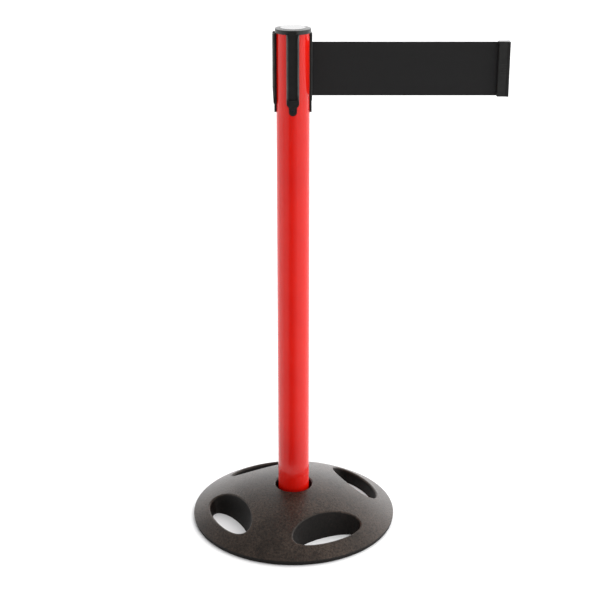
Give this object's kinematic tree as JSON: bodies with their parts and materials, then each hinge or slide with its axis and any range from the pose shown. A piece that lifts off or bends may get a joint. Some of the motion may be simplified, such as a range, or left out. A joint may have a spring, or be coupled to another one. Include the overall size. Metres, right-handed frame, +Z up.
{
  "type": "retractable belt stanchion",
  "caption": "Crowd control post: red steel tube on a domed rubber base, with belt receivers round the head and a wide black belt that pulls out of it.",
  "frame": {"origin": "on the floor, on the post's axis", "axes": "+Z up along the post, +X the way the belt pulls out, -Y the front receiver"},
  "size_m": [0.6125, 0.415, 1.016],
  "materials": {
    "recycled_rubber": "dull moulded recycled rubber, fine grain",
    "red_powder_coat": "glossy red powder coat on steel tube",
    "black_nylon": "black moulded nylon, fine spark texture",
    "cap_gloss": "polished black plastic",
    "zinc_steel": "zinc plated steel",
    "black_screw": "black oxide steel screws",
    "spring_steel": "blued spring steel",
    "white_acetal": "natural acetal",
    "belt_webbing": "black woven polyester webbing",
    "grey_nylon": "grey glass filled nylon"
  },
  "bodies": {
    "post": {"rubber_base": "recycled_rubber", "base_washer": "zinc_steel", "lock_washer": "zinc_steel", "base_bolt": "zinc_steel", "post_foot": "grey_nylon", "foot_nut": "zinc_steel", "post_tube": "red_powder_coat", "belt_guide": "black_nylon", "receiver_front": "black_nylon", "receiver_left": "black_nylon", "receiver_back": "black_nylon", "receiver_screws": "black_screw", "cassette_body": "grey_nylon", "cassette_lid": "grey_nylon", "spool_shaft": "zinc_steel", "belt_lead_in": "belt_webbing", "spring_case": "zinc_steel", "power_spring": "spring_steel", "brake_drum": "zinc_steel", "cap": "black_nylon", "cap_disc": "cap_gloss", "cap_screws": "zinc_steel", "belt_strip": "belt_webbing"},
    "spool": {"spool": "grey_nylon", "lower_bush": "white_acetal", "upper_bush": "white_acetal", "belt_roll": "belt_webbing", "spring_arbor": "white_acetal", "brake_hub": "white_acetal"},
    "brake_shoe_a": {"brake_shoe_a": "zinc_steel"},
    "brake_shoe_b": {"brake_shoe_b": "zinc_steel"},
    "belt_end": {"belt_end_body": "black_nylon", "belt_end_cover": "black_nylon", "belt_end_pin": "zinc_steel", "belt_end_screws": "black_screw"}
  },
  "joints": [
    {"name": "belt_pull", "type": "slide", "parent": "post", "child": "belt_end", "axis": [1, 0, 0], "range_m": [-0.3465, 0], "deforming": ["belt_strip"]},
    {"name": "spool_spin", "type": "hinge", "parent": "post", "child": "spool", "pos_m": [0, 0, 0.9378], "axis": [0, 0, 1], "range_deg": [-1, 792]},
    {"name": "brake_shoe_a_out", "type": "slide", "parent": "spool", "child": "brake_shoe_a", "axis": [0, 1, 0], "range_m": [0, 0.0006]},
    {"name": "brake_shoe_b_out", "type": "slide", "parent": "spool", "child": "brake_shoe_b", "axis": [0, -1, 0], "range_m": [0, 0.0006]}
  ],
  "couplings": [
    {"joint": "spool_spin", "follows": "belt_pull", "rad_per_m": -39.68}
  ]
}
